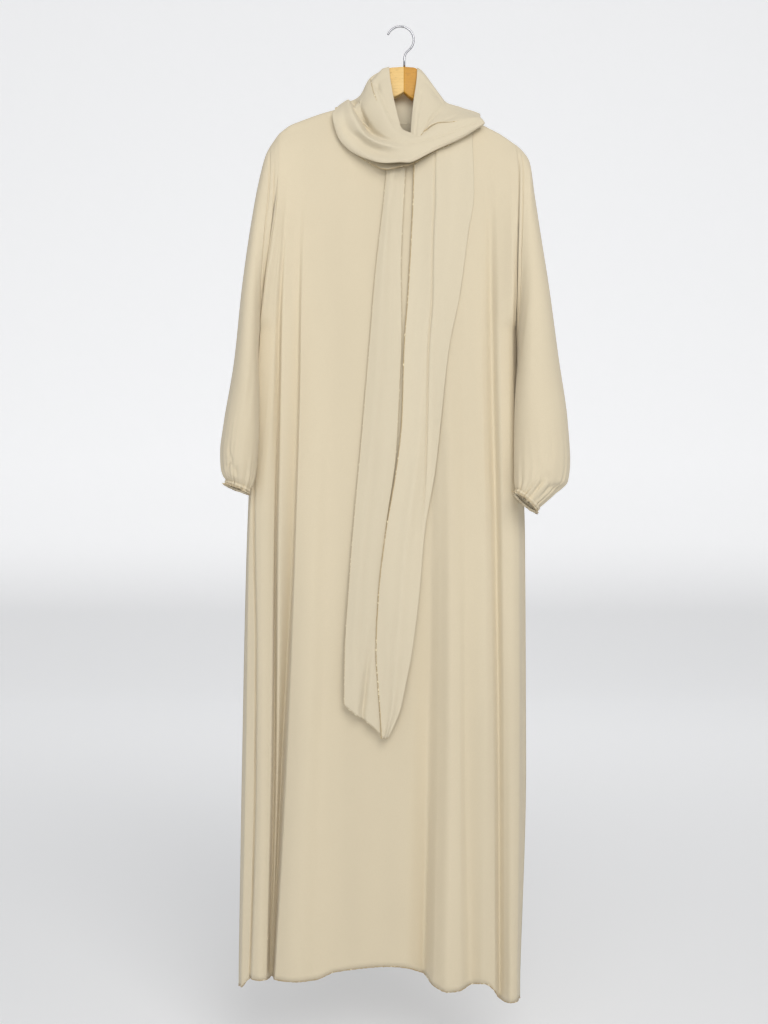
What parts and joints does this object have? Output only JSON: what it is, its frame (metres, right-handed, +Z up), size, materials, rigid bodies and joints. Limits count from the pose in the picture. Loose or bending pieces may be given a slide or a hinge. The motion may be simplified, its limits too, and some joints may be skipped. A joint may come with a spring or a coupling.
{
  "type": "abaya on a coat hanger",
  "caption": "Long A-line abaya with full gathered sleeves and a matching scarf wound at the neck, hung flat on a wooden coat hanger with a wire hook.",
  "frame": {"origin": "the inside of the hook's top, where the hook lies on a rail or a peg", "axes": "+Z up, -Y towards the viewer of the garment's front, +X to the right as the front is seen"},
  "size_m": [0.5787, 0.1343, 1.5995],
  "materials": {
    "cloth": "matt crepe, warm beige",
    "scarf": "matt crepe, warm beige, edges overcast in golden thread",
    "wood": "clear varnish over pale yellow wood",
    "wire": "bright plated wire"
  },
  "bodies": {
    "root": {"front_panel": "cloth", "back_panel": "cloth", "sleeve_left": "cloth", "sleeve_right": "cloth", "cuff_left": "cloth", "cuff_right": "cloth", "scarf_back": "scarf", "scarf_neck_left": "scarf", "scarf_neck_right": "scarf", "scarf_cowl": "scarf", "scarf_tail_left": "scarf", "scarf_tail_right": "scarf", "hanger_arm_left": "wood", "hanger_arm_right": "wood", "hanger_hook": "wire"}
  },
  "joints": []
}
